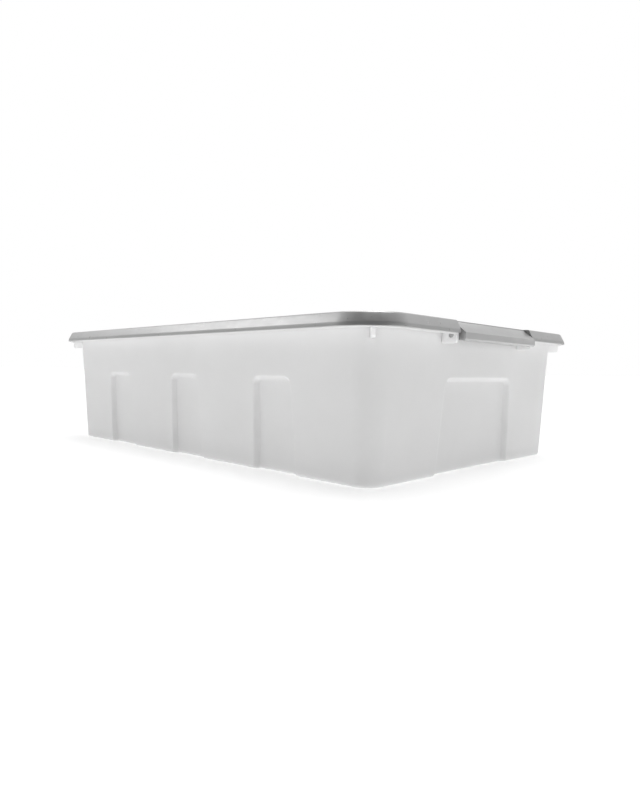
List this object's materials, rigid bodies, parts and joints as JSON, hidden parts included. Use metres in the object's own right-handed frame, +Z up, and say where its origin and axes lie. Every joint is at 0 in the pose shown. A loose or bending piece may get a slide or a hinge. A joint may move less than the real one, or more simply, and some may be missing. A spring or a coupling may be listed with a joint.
{
  "type": "under bed box",
  "caption": "Shallow lidded storage tub with drafted, recessed walls, a flared lid that covers the rim, and a wide hinged latch across each end.",
  "frame": {"origin": "middle of the flat base, on the surface the box stands on", "axes": "+X along the box towards the right latch, +Y across it towards the back long side, +Z up"},
  "size_m": [0.679, 0.4554, 0.17],
  "materials": {
    "tub_plastic": "milky white translucent polypropylene, satin, faint moulding grain",
    "lid_plastic": "silver-grey polypropylene, satin sheen",
    "latch_plastic": "silver-grey polypropylene, satin sheen, same colour as the lid"
  },
  "bodies": {
    "tub": {"storage_tub": "tub_plastic"},
    "lid": {"lid": "lid_plastic"},
    "right_latch": {"right_latch": "latch_plastic"},
    "left_latch": {"left_latch": "latch_plastic"}
  },
  "joints": [
    {"name": "lid_lift", "type": "slide", "parent": "tub", "child": "lid", "axis": [0, 0, 1], "range_m": [0, 0.2]},
    {"name": "right_latch_hinge", "type": "hinge", "parent": "tub", "child": "right_latch", "pos_m": [0.3257, 0, 0.1542], "axis": [0, 1, 0], "range_deg": [0, 100]},
    {"name": "left_latch_hinge", "type": "hinge", "parent": "tub", "child": "left_latch", "pos_m": [-0.3257, 0, 0.1542], "axis": [0, -1, 0], "range_deg": [0, 100]}
  ]
}
